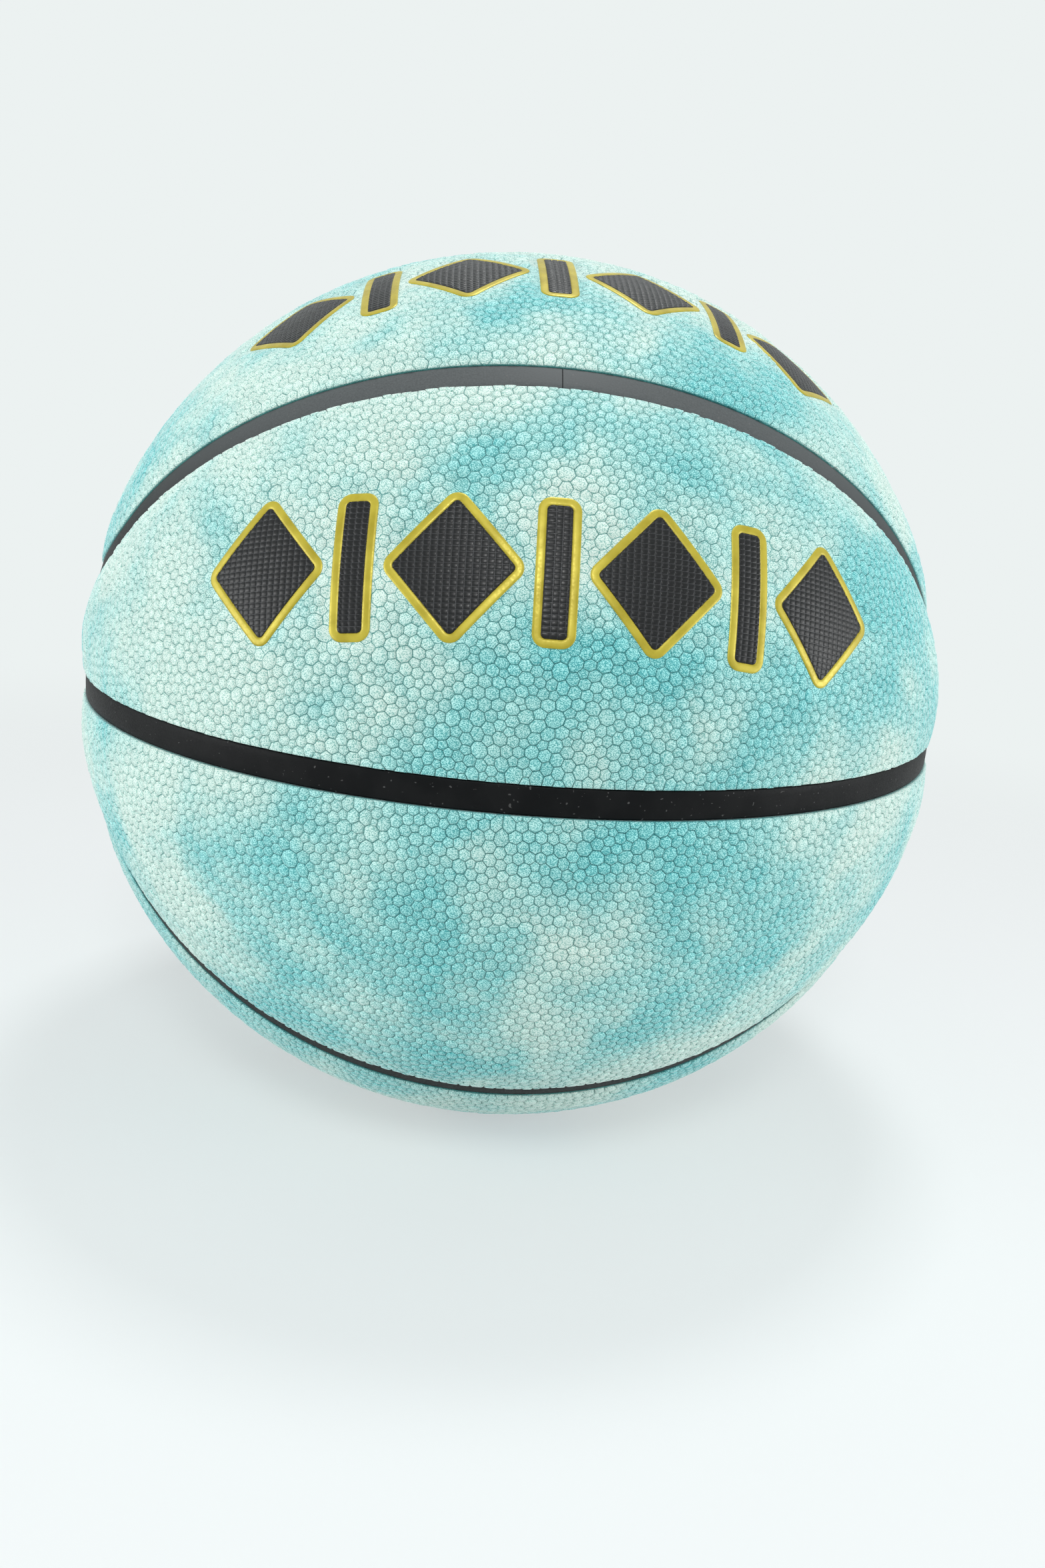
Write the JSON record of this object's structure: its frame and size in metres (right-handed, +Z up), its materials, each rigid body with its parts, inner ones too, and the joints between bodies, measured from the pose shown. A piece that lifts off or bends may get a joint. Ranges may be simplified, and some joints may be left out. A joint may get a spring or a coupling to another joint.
{
  "type": "basketball",
  "caption": "Inflated basketball of pebbled cover panels and recessed seam strips over a wound carcass, with a bladder and a needle valve.",
  "frame": {"origin": "centre of the ball", "axes": "+Z up through the middle of the top oval seam, the valve on -Z; the equator seam lies in the XY plane and the cross seam in the XZ plane; the face in the picture is towards -Y"},
  "size_m": [0.2398, 0.2406, 0.2406],
  "materials": {
    "cover": "pebbled composite leather in teal and cream",
    "seam_strip": "matte black rubber",
    "carcass_rubber": "matte moulded rubber",
    "thread": "wound nylon thread",
    "butyl": "smooth butyl rubber",
    "valve_rubber": "satin rubber"
  },
  "bodies": {
    "root": {"bladder": "butyl", "thread_winding": "thread", "carcass": "carcass_rubber", "valve_seat": "valve_rubber", "valve_plug": "valve_rubber", "top_panel_front": "cover", "top_panel_back": "cover", "bottom_panel_front": "cover", "bottom_panel_back": "cover", "side_panel_upper_front": "cover", "side_panel_upper_back": "cover", "side_panel_lower_front": "cover", "side_panel_lower_back": "cover", "equator_strip": "seam_strip", "top_oval_strip": "seam_strip", "bottom_oval_strip": "seam_strip", "top_cross_strip": "seam_strip", "bottom_cross_strip": "seam_strip", "link_strip_upper_right": "seam_strip", "link_strip_upper_left": "seam_strip", "link_strip_lower_right": "seam_strip", "link_strip_lower_left": "seam_strip"}
  },
  "joints": []
}
